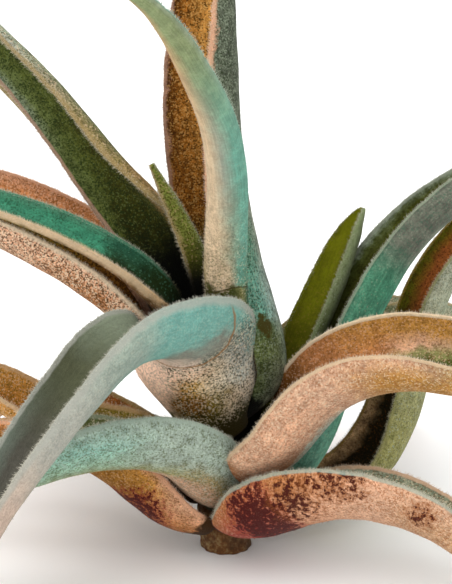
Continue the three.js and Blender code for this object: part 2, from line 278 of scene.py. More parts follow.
# The leaves, from the youngest in the heart to the oldest at the base, as in the part's source.
# root: height on the stem, and azimuth of the foot
# path: the keel, which is the line down the middle of the outer face
# faces: the way the channel opens, at the share of the length called turn and at the tip
# radius: the channel's radius at the foot, the neck and the blade
# thick: thickness of the foot and the blade
# spread: half angle of the channel at the foot and the blade
# at: shares of the length at which the neck and the blade begin
# bluntness: how late the tip narrows
LEAVES = [
    dict(
        node="leaf_heart", slot="green_felt", root=(46, -10),
        path=[(-3.6, -3.5, 57), (-7.8, -4.5, 68.5), (-14.3, -4, 81.5)],
        faces=((-0.1, -1, 0), (-0.1, -1, 0)), radius=(1.8, 2.6, 2.4), thick=(0.9, 1.3), spread=(50, 65),
    ),
    dict(
        node="leaf_upper_left", slot="olive_felt", root=(38, 100),
        path=[(-6, 4, 52), (-11, 4, 64), (-17.5, 5, 73), (-25.2, 8, 82.5), (-33.3, 11, 92.5),
              (-42, 14, 101), (-57, 18, 115), (-75, 22, 129)],
        faces=((-0.5, -0.75, -0.4), (-0.55, -0.7, -0.4)), radius=(3.8, 6.6, 6.4), thick=(1.2, 2.4),
        spread=(62, 86),
    ),
    dict(
        node="leaf_front_upright", slot="mint_felt", root=(35, -50),
        path=[(2, -6, 45), (0.6, -10.5, 56), (0.2, -15, 70), (0.4, -20.5, 80), (-1.2, -27, 91),
              (-4.5, -35, 99), (-11, -51, 112), (-18, -62, 118)],
        faces=((0, 1, 0.5), (0.3, 0.6, 1)), radius=(3.2, 3.6, 3.2), thick=(1.2, 2.0),
    ),
    dict(
        node="leaf_left_middle", slot="mint_felt", root=(34, 196),
        path=[(-9.4, -4.5, 48), (-19, -5.5, 60.4), (-28.5, -4.5, 66.6), (-46, 1, 72.2), (-60, 5, 74.4),
              (-86, 10, 75)],
        faces=((0.3, -0.7, 0.7), (0.2, -0.6, 0.8)), radius=(3.4, 4, 2.7), thick=(1.2, 2.2),
    ),
    dict(
        node="leaf_back_upper_left", slot="sage_felt", root=(33, 124),
        path=[(-9, 14.5, 46.5), (-14, 23.5, 58), (-22.5, 34, 68), (-36, 44, 77.5), (-53, 51, 93),
              (-70, 57, 104)],
        faces=((0.4, -0.8, 0.4), (0.3, -0.6, 0.7)), radius=(3.6, 4.6, 4.2), thick=(1.2, 2.2),
    ),
    dict(
        node="leaf_left_rear", slot="coral_felt", root=(30, 156),
        path=[(-12, 8, 42), (-19, 11, 52.5), (-27, 14.5, 60.8), (-35, 18.5, 65.2), (-48, 23, 70.5),
              (-61.5, 27, 73.5), (-82, 31, 74.5)],
        faces=((0.4, -0.5, 1), (0.2, -0.5, 1)), radius=(4, 5, 4.4), thick=(1.3, 2.2),
    ),
    dict(
        node="leaf_back_upright", slot="sage_felt", root=(29, 78),
        path=[(0, 14, 40), (0, 25, 55), (-1, 38, 67), (-2, 56, 72), (-3, 76, 68)],
        faces=((0, -0.8, 0.6), (0, 0.1, 1)), radius=(4, 5.6, 5), thick=(1.3, 2.4),
    ),
    dict(
        node="leaf_left_lower", slot="coral_felt", root=(27, 186),
        path=[(-12, 0, 37), (-17, -0.5, 45), (-21, -0.5, 49.6), (-30, 2, 56), (-38, 3, 60.6),
              (-45.5, 4, 64), (-58, 6, 67.4), (-82, 8, 69)],
        faces=((0.4, -0.05, 1), (0.2, 0.5, 1)), radius=(4, 5, 6.2), thick=(1.3, 2.2), spread=(62, 98),
    ),
    dict(
        node="leaf_right_short", slot="olive_felt", root=(20, 34),
        path=[(12, 8, 27), (16, 10, 36), (19.8, 11, 45), (23.8, 12.5, 54), (26.8, 14, 62),
              (28.8, 15.5, 69)],
        faces=((-0.85, -0.56, 0.3), (-0.9, -0.46, 0.3)), radius=(4, 4.3, 3.9), thick=(1.2, 2.2),
        bluntness=9,
    ),
    dict(
        node="leaf_front_fold", slot="mint_felt", root=(25, -88),
        path=[(-4.5, -9.5, 35), (-5.5, -14, 44.5), (-10, -20, 49), (-17, -27, 49.5), (-22.5, -34, 46),
              (-27.5, -41, 41.5), (-31.5, -46, 37), (-36, -50, 31.5), (-48, -60, 13), (-56, -66, 0.4)],
        faces=((-0.3, 0.1, 1), (-0.5, -0.42, 0.8)), turn=0.28, radius=(7, 12.4, 7), thick=(1.3, 2.6),
        spread=(68, 92), at=(0.13, 0.48), smoothing=8,
    ),
    dict(
        node="leaf_tall", slot="sage_felt", root=(27, 5),
        path=[(9.5, 3, 32), (11.5, 5, 39), (8.5, 7, 50), (5, 8, 62), (2.6, 9, 75), (1, 9, 90),
              (0.6, 9, 99), (0, 9, 112), (-0.5, 8, 132)],
        faces=((-0.93, -0.36, 0), (-0.8, -0.6, 0)), turn=0.4, radius=(5, 9.8, 10.2), thick=(1.3, 2.4),
        spread=(74, 95), bluntness=5,
    ),
    dict(
        node="leaf_back_left", slot="sage_felt", root=(23, 142),
        path=[(-10, 9.5, 35), (-17, 18, 47), (-27, 28, 54), (-40, 41, 57), (-52, 51, 58), (-68, 60, 56)],
        faces=((0.5, -0.5, 1), (0.2, -0.2, 1)), radius=(4.4, 5.6, 5), thick=(1.3, 2.4),
    ),
    dict(
        node="leaf_back_right", slot="olive_felt", root=(16, 64),
        path=[(9, 18, 27), (16, 26, 33), (25, 34.5, 37), (35, 44, 36.5), (46, 56, 34.5), (58, 66, 31.5),
              (70, 74, 26)],
        faces=((-0.5, -0.5, 1), (0, 0, 1)), radius=(4.4, 5.8, 5.2), thick=(1.3, 2.4),
    ),
    dict(
        node="leaf_back_low", slot="sage_felt", root=(18, 115),
        path=[(-7, 12, 26), (-10, 22, 33), (-12, 36, 36), (-11, 52, 33), (-11, 70, 24), (-11, 88, 10)],
        faces=((0, -0.5, 1), (0, 0.5, 1)), radius=(4.6, 6.2, 5.6), thick=(1.5, 2.6),
    ),
    dict(
        node="leaf_right_front", slot="coral_felt", root=(16, -22),
        path=[(10.5, -8.5, 20.5), (15.5, -11, 26.5), (20.5, -13, 35), (25.5, -15, 39.8),
              (33.7, -17, 42.8), (42.7, -20, 43.2), (54.7, -24, 42.2), (68.6, -29, 37), (86, -34, 28)],
        faces=((-0.5, 0, 0.9), (0.1, -0.9, 0.8)), turn=0.22, radius=(6, 10.8, 8.4), thick=(1.5, 2.8),
        spread=(76, 108), at=(0.13, 0.4),
    ),
    dict(
        node="leaf_low_left", slot="ochre_felt", root=(14, 168),
        path=[(-12.5, 6, 19), (-22.6, 8.5, 19), (-34, 11, 19.2), (-42, 12.5, 22.6), (-50, 14, 28),
              (-62.5, 17, 29), (-86, 22, 27)],
        faces=((0.2, -0.3, 1), (0.1, -0.3, 1)), radius=(5, 6.4, 6), thick=(1.5, 2.6),
    ),
    dict(
        node="leaf_back_low_right", slot="ochre_felt", root=(12, 75),
        path=[(4, 12, 19), (7, 23, 27), (10, 36, 30), (12, 52, 26), (13, 70, 14), (14, 82, 0.4)],
        faces=((0, -0.5, 1), (0, 0.5, 1)), radius=(5, 6.6, 5.8), thick=(1.5, 2.6),
    ),
    dict(
        node="leaf_low_left_front", slot="mint_felt", root=(11, -72),
        path=[(-2.5, -12, 17), (-8.5, -15, 23), (-16, -18, 25.8), (-26, -22, 27), (-36, -27, 26),
              (-48, -33, 23), (-60, -39, 16.6), (-74, -46, 6)],
        faces=((0.2, 0.3, 1), (-0.4, -0.1, 0.9)), radius=(6, 9, 8.6), thick=(1.5, 2.8),
    ),
    dict(
        node="leaf_right_middle", slot="mint_felt", root=(10, 15),
        path=[(12, 3, 11), (18, 4, 17), (22.2, 5, 26), (26.8, 6.5, 38), (31, 8, 49), (36, 9, 58),
              (40.6, 10, 64), (45.2, 11, 68), (58, 13, 77.4), (70, 15, 83), (88, 18, 90)],
        faces=((-0.85, -0.1, 0.5), (-0.6, 0.35, 0.8)), radius=(5, 9, 7.2), thick=(1.5, 2.6),
        spread=(76, 104),
    ),
    dict(
        node="leaf_back_base_left", slot="coral_felt", root=(8, 138),
        path=[(-11, 11, 10), (-24, 20, 16), (-38, 31, 19), (-52, 42, 15), (-66, 54, 0.4)],
        faces=((0.2, -0.3, 1), (-0.2, 0.3, 1)), radius=(5.2, 6.4, 5.6), thick=(1.6, 2.6),
    ),
    dict(
        node="leaf_back_base_right", slot="rose_felt", root=(8, 66),
        path=[(10, 14.5, 11.5), (18, 23, 18), (26, 36, 20), (34, 50, 18), (42, 64, 10), (48, 74, 0.4)],
        faces=((-0.2, -0.3, 1), (0.2, 0.3, 1)), radius=(5, 6.6, 5.6), thick=(1.6, 2.6),
    ),
    dict(
        node="leaf_right_rear", slot="sage_felt", root=(6, 40),
        path=[(16, 9, 5), (26, 13, 5.5), (34.5, 18, 9), (40.5, 22, 17), (43.5, 25, 25), (45.5, 28, 35),
              (49, 31, 47), (56, 34, 58), (67, 37, 69), (82, 40, 79)],
        faces=((-0.95, -0.1, 0.5), (-0.75, -0.6, 0.3)), radius=(5, 7.6, 8), thick=(1.6, 2.6),
    ),
    dict(
        node="leaf_base_right", slot="rose_felt", root=(6, -60),
        path=[(6, -12, 8), (12, -16, 12), (22, -21, 17), (33, -26, 17.4), (42, -31, 14.4), (55, -40, 5.5),
              (62, -46, 0.5)],
        faces=((-0.1, 0.4, 1), (0.2, 0.6, 1)), radius=(6.4, 11, 8.5), thick=(1.8, 3), spread=(66, 92),
    ),
    dict(
        node="leaf_base_left", slot="coral_felt", root=(5, -140),
        path=[(-9.5, -6.5, 6.4), (-16, -7, 11), (-24, -7, 18.4), (-34, -6, 23.2), (-46, -5, 24.5),
              (-58, -4, 22), (-78, -2, 12)],
        faces=((0.2, 0.3, 1), (0, 0.1, 1)), radius=(6.6, 8, 5.6), thick=(1.6, 2.8),
    ),
]

# How each leaf looks.
# outer, inner: colours of the two faces, as rows by share of the length. A row has colours by place
#     across the leaf, from -1 at one rim to 1 at the other, or one colour for all of it.
# rims: colour and width of the felt along the rim at -1 and along the rim at 1
# rim_from: share of the length where that felt begins
# foot: colour of the painted shade over the hidden foot, and the share of the length where it ends
# dark, pale: colours of the fine scales on the outer and the inner face, and the share of scales
# tips: how pale the hairs' tips are on the outer and the inner face
# grain: strength of the scales and the grit, and streaks: strength of the light and dark streaks
# calm: shares of the length between which the scales fade away
# bare: places across between which the scales begin
# smooth: shares of the length between which the grit fades away
# blotches: colour, halo colour, place along and across, size along and across, amount
# creases: lines of painted shade where a fold shades the leaf: colour, place along, from and to across,
# bend
LOOKS = {
    "leaf_heart": dict(
        outer={0.5: YOUNG_GREEN},
        inner={0.45: {-1: MOSS, 1: OLIVE}, 0.65: {0.5: YOUNG_GREEN, 1: DULL_TAN}},
        rims=((YOUNG_GREEN, 0.05), (DULL_TAN, 0.1)), foot=(CROWN_SHADE, 0.56), dark=(GROOVE, GROOVE, 0.36),
        pale=(SAGE, DULL_TAN, 0.12), tips=(0.15, 0.1), grain=1.5,
    ),
    "leaf_upper_left": dict(
        outer={0.3: {-1: DULL_TAN, -0.6: BRONZE, 0.5: MOSS},
               0.42: {-1: DULL_TAN, -0.6: WALL_GREEN, 0.5: MOSS},
               0.7: {-1: PALE_GREY, -0.7: SAGE, -0.2: GREY_SAGE, 0.8: SAGE}},
        inner={0.3: {-1: DULL_TAN, -0.6: DULL_GOLD, -0.35: GROOVE, 0.6: DEEP_GROOVE, 1: MOSS},
               0.42: {-1: SAGE, -0.8: OLIVE_SAGE, -0.5: DULL_GOLD, -0.4: OLIVE_TAN, -0.25: GROOVE,
                   0.1: GROOVE, 0.6: MOSS, 1: WALL_GREEN},
               0.6: {-1: SAGE, -0.8: OLIVE_SAGE, -0.5: DULL_TAN, -0.35: OLIVE_TAN, -0.15: MOSS,
                   0.35: MOSS, 0.7: WALL_GREEN, 1: SAGE}},
        rims=((DULL_TAN, 0.06), (DULL_ROSE, 0.035)), rim_from=0.2, foot=(CROWN_SHADE, 0.31),
        dark=(GROOVE, BLACK_GREEN, 0.42), pale=(CREAM_TAN, WALL_GREEN, 0.2), tips=(0.25, 0.04),
        grain=1.3, streaks=1.5,
    ),
    "leaf_front_upright": dict(
        outer={0.228: {-1: DEEP_OLIVE, -0.3: GROOVE, 0.1: MOSS, 0.4: OLIVE_SAGE, 0.7: DEEP_TEAL,
                   1: BLACK_GREEN},
               0.25: {-1: OLIVE_TAN, -0.6: CREAM_TAN, 0: CREAM_TAN, 0.3: SEA, 1: SEA_GREEN},
               0.32: {-0.3: CREAM_TAN, 0.1: SAGE, 0.5: SEA},
               0.5: {-0.45: CREAM_TAN, -0.05: WARM_SAGE, 0.35: SEA},
               0.8: {-0.5: TAN, 0.1: OLIVE_HAZE, 0.6: OLIVE_HAZE, 1: SAGE}},
        inner={0.5: {-1: SAGE, 0: MOSS, 1: SEA}},
        rims=((CREAM_TAN, 0.05), (SEA, 0.04)), foot=(GROOVE, 0.17), dark=(MOSS, MOSS, 0.36),
        pale=(CREAM, CREAM, 0.16), tips=(0.2, 0.1), calm=(0.24, 0.4), smooth=(0.3, 0.5),
        # A line of painted shade along the fold
        creases=[(DEEP_OLIVE, 0.238, -0.9, 0.95, -0.03)],
    ),
    "leaf_left_middle": dict(
        # Outer face: the dark olive and brown from the middle towards the rim at 1 are painted shade on
        # the wall below that rim
        outer={0.3: {-1: MOSS, 0: DEEP_OLIVE, 0.6: BROWN, 1: TAN},
               0.6: {-1: SAGE, 0: DEEP_OLIVE, 0.5: OLIVE, 0.75: DULL_TAN, 1: TAN}},
        # Inner face: the black greens near the foot, up to about a third of the length, are painted shade
        # of the crown
        inner={0.24: {0: BLACK_GREEN, 1: DEEP_GROOVE},
               0.33: {-1: DEEP_TEAL, 0.1: BLACK_GREEN, 0.5: GROOVE, 1: DULL_TAN},
               0.38: {-1: SEA_GREEN, -0.6: TEAL, 0.2: TEAL, 0.7: OLIVE_SAGE, 1: TAN},
               0.9: {-1: SEA_GREEN, -0.4: TEAL, 0.2: SEA_GREEN, 0.6: SAGE, 1: TAN}},
        rims=((SEA_GREEN, 0.03), (CREAM_TAN, 0.2)), rim_from=0.2, foot=(CROWN_SHADE, 0.24),
        dark=(GROOVE, BLACK_GREEN, 0.25), pale=(CREAM, SEA_GREEN, 0.12), tips=(0.3, 0.08), grain=0.8,
        streaks=1.4,
    ),
    "leaf_back_upper_left": dict(
        outer={0.4: {-1: SAGE, 0: MOSS, 1: GREY_SAGE}, 0.8: {-1: GREY_SAGE, 1: DULL_TAN}},
        inner={0.4: {-1: WALL_GREEN, 0: GROOVE, 1: SAGE}, 0.8: {-1: SAGE, 0: MOSS, 1: TAN}},
    ),
    "leaf_left_rear": dict(
        outer={0.4: {0: CORAL, 1: SALMON}, 0.8: {-1: CORAL, 1: SALMON}},
        inner={0.4: {-0.5: CORAL, 0.3: RUST, 1: BROWN}, 0.8: {-1: SALMON, -0.4: CORAL}},
        rims=((SALMON, 0.04), (SALMON, 0.05)), foot=(CROWN_SHADE, 0.28), dark=(BROWN, BROWN, 0.3),
        pale=(PEACH, PEACH, 0.34), tips=(0.3, 0.25),
    ),
    "leaf_back_upright": dict(
        outer={0.4: {-1: MOSS, 0: WALL_GREEN, 1: SAGE}, 0.8: {-1: SAGE, 1: GREY_SAGE}},
        inner={0.4: {-1: WALL_GREEN, 0: GROOVE, 1: OLIVE}, 0.8: {-1: SAGE, 0: MOSS, 1: TAN}},
    ),
    "leaf_left_lower": dict(
        outer={0.35: {0.6: CORAL, 1: SALMON}, 0.6: {0: CORAL, 0.5: SALMON}},
        # Inner face: the brown is partly the leaf's own colour and partly painted shade inside the
        # channel
        inner={0.35: {0: BROWN, 0.6: BRONZE},
               0.5: {-1: OLIVE_TAN, -0.3: DEEP_OLIVE, 0.3: OLIVE_TAN, 1: DULL_TAN}},
        rims=((OLIVE_TAN, 0.04), (CREAM, 0.06)), foot=(DEEP_BROWN, 0.2),
        dark=(DEEP_BROWN, DEEP_BROWN, 0.5), pale=(CREAM, BRONZE, 0.42), tips=(0.4, 0.1), grain=1.35,
    ),
    "leaf_right_short": dict(
        outer={0.45: {-0.4: WALL_GREEN, 0.3: MOSS, 1: OLIVE},
               0.75: {-0.4: OLIVE_HAZE, 0.3: MOSS, 1: OLIVE}},
        inner={0.35: {-1: MOSS, -0.7: GROOVE, 0: OLIVE},
               0.7: {-0.2: OLIVE_HAZE, 0.05: OLIVE, 0.35: BRIGHT_OLIVE}},
        rims=((OLIVE_HAZE, 0.05), (BRIGHT_OLIVE, 0.03)), foot=(CROWN_SHADE, 0.25), dark=(MOSS, OLIVE, 0.2),
        pale=(GREY_SAGE, OLIVE_TAN, 0.12), tips=(0.25, 0.04), calm=(0.5, 1.1), smooth=(0.3, 0.6),
    ),
    "leaf_front_fold": dict(
        # Row 0.045: the dark greens and olives low on the sheath are painted shade
        outer={0.045: {-1: GROOVE, -0.4: OLIVE, 0.4: DEEP_OLIVE, 1: MOSS},
               # Rows 0.1 on: the pink at -1 and, in row 0.1, the white near 1 are painted light on the
               # sheath's own peach and pale grey
               0.1: {-0.5: LIT_SHEATH_PINK, -0.38: BRONZE, -0.1: BRONZE, 0.15: OLIVE_TAN, 0.4: CREAM_TAN,
                   0.8: WHITE_FUZZ},
               0.14: {-0.4: LIT_SHEATH_PINK, -0.25: OCHRE, -0.1: GOLD, 0.15: CREAM, 0.5: PALE_SILVER},
               0.175: {-0.3: LIT_SHEATH_PINK, -0.1: PEACH, 0.2: CREAM_TAN, 0.4: PALE_GREY, 0.6: BLUE_GREY,
                   0.85: CREST_MINT},
               0.206: {-1: LIT_SHEATH_PINK, 0.02: PALE_PINK, 0.2: PALE_SHADE, 0.55: PALE_SHADE,
                   0.8: CREST_MINT},
               0.222: {-1: LIT_SHEATH_PINK, -0.1: PALE_PINK, 0.1: PALE_SHADE, 0.5: PALE_SHADE,
                   0.75: CREST_MINT},
               0.26: {-1: LIT_SHEATH_PINK, -0.55: PALE_PINK, -0.3: PALE_SHADE, 0.2: PALE_SHADE,
                   0.5: CREST_MINT},
               0.31: {-1: SHADE, -0.2: CREST_MINT},
               0.38: {-1: SHADE, -0.1: CREST_MINT, 0.5: NEAR_WALL, 1: PALE_SAGE},
               0.55: {-1: SHADE, 0: NEAR_WALL, 0.6: PALE_GREY},
               0.68: {-1: SHADE, 0: WARM_SAGE, 0.6: DULL_PINK}},
        inner={0.3: {-1: SAGE, 0: CHANNEL},
               0.42: {0.5: CHANNEL, 1: SHADE},
               0.6: {-1: SHADE, -0.6: DIM_CHANNEL, 0.4: DIM_CHANNEL, 1: DULL_TAN}},
        rims=((PALE_GREY, 0.04), (PALE_GREY, 0.08)), foot=(DEEP_OLIVE, 0.05),
        dark=(DEEP_GROOVE, GROOVE, 0.42), pale=(CREAM, GREY_SAGE, 0.38), tips=(0.2, 0.05), grain=1.4,
        streaks=0.55, calm=(0.196, 0.225), bare=(-0.5, -0.28), smooth=(0.196, 0.215),
        # A line of painted shade along the fold
        creases=[(BRONZE, 0.2, -0.75, 0.92, 0.035)],
    ),
    "leaf_tall": dict(
        outer={0.1: {-1: WALL_GREEN, -0.5: SAGE, -0.2: WALL_GREEN, 1: MOSS},
               0.2: {-0.6: WALL_GREEN, -0.3: SAGE, 1: MOSS},
               0.26: {-1: SEA_GREEN, -0.7: SEA, -0.35: BLUE_GREY, 0.1: PALE_SILVER, 1: MOSS},
               0.42: {-0.55: SEA_GREEN, -0.3: WARM_SAGE, 0.6: MOSS},
               0.52: {-1: SALMON, -0.9: DARK_GREY, -0.4: DARK_GREY, 0.1: WARM_SAGE, 1: MOSS}},
        inner={0.36: {-1: DEEP_BROWN, 0.5: DEEP_OLIVE, 1: OLIVE},
               0.46: {0: BRONZE, 0.4: BROWN, 0.7: BRONZE},
               0.62: {0.3: OCHRE, 0.8: BRONZE, 0.93: BROWN, 1: DULL_ROSE}},
        rims=((SALMON, 0.05), (DULL_ROSE, 0.025)), rim_from=0.42, foot=(CROWN_SHADE, 0.08),
        dark=(BLACK_GREEN, DEEP_BROWN, 0.38), pale=(SAGE, GOLD, 0.3), tips=(0.2, 0.04), grain=1.2,
        streaks=2.0,
        blotches=[(DEEP_OLIVE, MOSS, 0.23, -0.74, 0.022, 0.12, 0.8)],
    ),
    "leaf_back_left": dict(
        outer={0.4: {-1: MOSS, 0: SAGE, 1: DULL_TAN}, 0.8: {-1: SAGE, 1: TAN}},
        inner={0.4: {-1: GROOVE, 0: MOSS, 1: SAGE}, 0.8: {-1: SAGE, 0: OLIVE, 1: TAN}},
    ),
    "leaf_back_right": dict(
        outer={0.4: {-1: MOSS, 0: OLIVE, 1: SAGE}, 0.8: {-1: SAGE, 1: DULL_TAN}},
        inner={0.4: {-1: GROOVE, 0: OLIVE, 1: MOSS}, 0.8: {-1: TAN, 0: OLIVE, 1: SAGE}},
    ),
    "leaf_back_low": dict(
        outer={0.3: {-1: SAGE, 0: SEA, 1: MINT}, 0.8: {-1: MINT, 0: GREY_SAGE, 1: SAGE}},
        inner={0.4: {-1: MOSS, 0: DEEP_TEAL, 1: SAGE}, 0.8: {-1: TAN, 0: MOSS, 1: MINT}},
        foot=(CROWN_SHADE, 0.25),
    ),
    "leaf_right_front": dict(
        # Row 0.06: the rust and brown near the foot are partly the leaf's own colour and partly painted
        # shade of its base
        outer={0.06: {-1: CORAL, -0.6: RUST, 0: BROWN},
               0.13: {-1: WARM_SALMON, -0.55: SALMON, -0.35: CORAL, -0.15: PALE_SAGE, 0.1: PALE_SAGE,
                   0.5: MOSS},
               0.22: {-1: WARM_SALMON, -0.6: SALMON, -0.4: WARM_SALMON, -0.28: PALE_SAGE,
                   0.1: PALE_SAGE, 0.5: MOSS},
               0.33: {-0.35: WARM_SALMON, -0.2: PALE_SAGE},
               0.42: {-1: WARM_SALMON, -0.7: DEEP_OCHRE, -0.1: DEEP_OCHRE, 0.3: DULL_TAN, 0.6: BRONZE},
               0.6: {-1: DULL_TAN, -0.6: DEEP_OCHRE, -0.1: DEEP_OCHRE, 0.6: BRONZE}},
        inner={0.22: {-1: MOSS, 0: DEEP_BROWN, 0.6: BROWN},
               0.3: {-1: MOSS, 0: RUST, 0.6: CORAL},
               0.38: {-1: MOSS, -0.4: OLIVE_TAN, 0.1: SALMON, 0.5: CORAL, 1: OCHRE},
               0.45: {-1: MOSS, -0.2: GROOVE, 0.25: MOSS, 0.4: OLIVE_SAGE, 0.52: SALMON, 0.75: OCHRE},
               0.6: {-1: SAGE, -0.2: GROOVE, 0.3: MOSS, 0.5: OLIVE_SAGE, 0.7: OCHRE}},
        rims=((CREAM_TAN, 0.015), (CREAM, 0.015)), foot=(DEEP_BROWN, 0.035), dark=(RUST, BROWN, 0.26),
        pale=(CREAM, PEACH, 0.25), tips=(0.35, 0.25), grain=0.85,
    ),
    "leaf_low_left": dict(
        outer={0.35: OLIVE_TAN, 0.5: OCHRE},
        inner={0.35: {-1: OLIVE_TAN, 0: OLIVE, 1: DULL_TAN}, 0.5: {-1: OCHRE, 0: BRONZE, 1: OCHRE}},
        rims=((TAN, 0.06), (CREAM_TAN, 0.05)), foot=(DEEP_OLIVE, 0.2), dark=(GROOVE, GROOVE, 0.35),
        pale=(CREAM, CREAM_TAN, 0.3), tips=(0.3, 0.2),
    ),
    "leaf_back_low_right": dict(
        outer={0.4: {-1: OCHRE, 0: OLIVE_TAN, 1: OLIVE}, 0.8: {-1: TAN, 1: OCHRE}},
        inner={0.4: {-1: OLIVE, 0: BRONZE, 1: MOSS}, 0.8: {-1: TAN, 0: OCHRE, 1: SAGE}},
        foot=(DEEP_BROWN, 0.25),
    ),
    "leaf_low_left_front": dict(
        outer={0.1: {0: WARM_SALMON, 0.25: DULL_TAN, 0.5: PALE_SAGE},
               0.25: {-0.05: WARM_SALMON, 0.12: OLIVE_SAGE, 0.35: PALE_SAGE},
               0.4: {0: DULL_TAN, 0.15: OLIVE_SAGE, 0.4: MINT_SAGE, 0.7: MINT, 1: PALE_SAGE},
               0.65: {-1: SAGE, 0: DULL_TAN, 0.15: WALL_MINT, 0.8: MINT_SAGE, 1: PALE_SAGE}},
        inner={0.4: {-1: MOSS, 0: SAGE, 1: GREY_SAGE}},
        rims=((SAGE, 0.04), (PALE_SAGE, 0.05)), foot=(DEEP_OLIVE, 0.045), dark=(MOSS, MOSS, 0.36),
        pale=(PALE_SAGE, CREAM, 0.36), tips=(0.35, 0.2),
    ),
    "leaf_right_middle": dict(
        outer={0.12: {-1: SEA, 0: SEA_GREEN, 1: MOSS},
               0.45: {-1: SEA_GREEN, -0.3: TEAL, 0.1: SEA_GREEN, 0.5: MOSS},
               0.53: {-0.4: TALL_GREY, 0: SAGE, 0.4: TALL_GREY},
               0.66: TALL_GREY},
        inner={0.4: {-1: GROOVE, 0: DEEP_GROOVE, 0.6: GROOVE, 0.9: MOSS, 1: SAGE},
               0.8: {-1: MOSS, 0: GROOVE, 0.8: GROOVE, 1: SAGE}},
        rims=((SAGE, 0.015), (WARM_SAGE, 0.03)), foot=(DEEP_TEAL, 0.05),
        dark=(DEEP_TEAL, DEEP_GROOVE, 0.24), pale=(SAGE, MOSS, 0.08), tips=(0.12, 0.04), grain=0.8,
        streaks=1.5,
    ),
    "leaf_back_base_left": dict(
        outer={0.4: {-1: CORAL, 0: BRONZE, 1: OCHRE}, 0.8: {-1: SALMON, 1: TAN}},
        inner={0.4: {-1: RUST, 0: BRONZE, 1: CORAL}, 0.8: {-1: TAN, 0: CORAL, 1: PEACH}},
        foot=(DEEP_BROWN, 0.25),
        blotches=[(BLOTCH, BLOTCH_RED, 0.45, 0.4, 0.12, 0.7, 0.7)],
    ),
    "leaf_back_base_right": dict(
        outer={0.4: {-1: SALMON, 0: CORAL, 1: RUST}, 0.8: {-1: PEACH, 1: CORAL}},
        inner={0.4: {-1: CORAL, 0: RUST, 1: OLIVE}, 0.8: {-1: TAN, 0: SALMON, 1: SAGE}},
        foot=(DEEP_BROWN, 0.25),
        blotches=[(BLOTCH, BLOTCH_RED, 0.5, -0.3, 0.16, 0.9, 0.7)],
    ),
    "leaf_right_rear": dict(
        outer={0.3: {-0.3: OLIVE_SAGE, 0.5: MOSS}, 0.7: {-1: GREY_SAGE, 0: SAGE, 1: MOSS}},
        inner={0.35: {-1: OLIVE_TAN, -0.7: BLACK_OLIVE, 0.7: BLACK_OLIVE, 1: TAN},
               0.5: {-0.5: RUST, 0.5: DEEP_BROWN, 0.85: DEEP_GROOVE, 1: OLIVE},
               0.6: {0.6: RUST, 0.88: OLIVE}},
        rims=((OLIVE_SAGE, 0.02), (OLIVE_TAN, 0.02)), foot=(DEEP_BROWN, 0.1),
        dark=(MOSS, DEEP_BROWN, 0.25), pale=(PALE_SAGE, BROWN, 0.14), tips=(0.2, 0.04),
    ),
    "leaf_base_right": dict(
        outer={0.14: {-1: CORAL, -0.4: BLOTCH_RED},
               0.28: {-1: CORAL, -0.4: SALMON, 0.3: RUST},
               0.45: {-1: SALMON, -0.7: WARM_SALMON, 0: WARM_SALMON, 1: CORAL},
               0.55: {-1: WARM_SALMON, -0.5: WARM_TAN, 0: WARM_TAN, 1: DULL_TAN},
               0.85: {-1: GREY_SAGE, -0.6: TAN, 0: TAN, 1: DULL_TAN}},
        inner={0.4: {-1: TAN, 0: MOSS, 1: SAGE}, 0.8: {-1: SAGE, 0: TAN, 1: SAGE}},
        rims=((PALE_SAGE, 0.02), (PEACH, 0.03)), foot=(BLOTCH, 0.035), dark=(RUST, BROWN, 0.36),
        pale=(PEACH, CREAM, 0.28), tips=(0.3, 0.2),
        blotches=[(BLOTCH, BLOTCH_RED, 0.19, -0.4, 0.07, 0.6, 0.8),
                  (BLOTCH, RUST, 0.29, -0.65, 0.05, 0.4, 0.6),
                  (BLOTCH, RUST, 0.38, -0.86, 0.06, 0.25, 0.52),
                  (BLOTCH, RUST, 0.56, -0.7, 0.03, 0.2, 0.55)],
    ),
    "leaf_base_left": dict(
        outer={0.12: {-1: BRONZE, 0: RUST, 0.5: CORAL, 1: SALMON},
               0.22: {-1: BRONZE, 0: GOLD_BROWN, 0.5: GOLD_BROWN, 0.85: OCHRE, 1: SALMON},
               0.5: {-1: CORAL, 0: BRONZE, 0.5: GOLD_BROWN, 1: CORAL}},
        inner={0.3: {0: BRONZE, 0.5: CORAL, 1: SALMON}},
        rims=((TAN, 0.03), (SALMON, 0.05)), foot=(DEEP_BROWN, 0.05), dark=(BROWN, BROWN, 0.35),
        pale=(TAN, CREAM_TAN, 0.25), tips=(0.25, 0.2),
        blotches=[(BLOTCH, BLOTCH_RED, 0.18, -0.15, 0.075, 0.8, 0.72)],
    ),
}


# Small maths

def ease(t):
    """Smooth change from 0 to 1."""
    t = np.clip(t, 0.0, 1.0)
    return t * t * (3.0 - 2.0 * t)


def blend(a, b, t):
    return a + (b - a) * t


def unit(vectors):
    return vectors / (np.linalg.norm(vectors, axis=-1, keepdims=True) + 1e-12)


# A leaf's line and sections

def stem_centre(height):
    return np.array([STEM_LEAN * height, 0.0, height])


def stem_radius(height):
    return blend(STEM_FOOT_RADIUS, STEM_TOP_RADIUS, ease(height / STEM_HEIGHT))


def outwards(azimuth):
    angle = math.radians(azimuth)
    return np.array([math.cos(angle), math.sin(angle), 0.0])


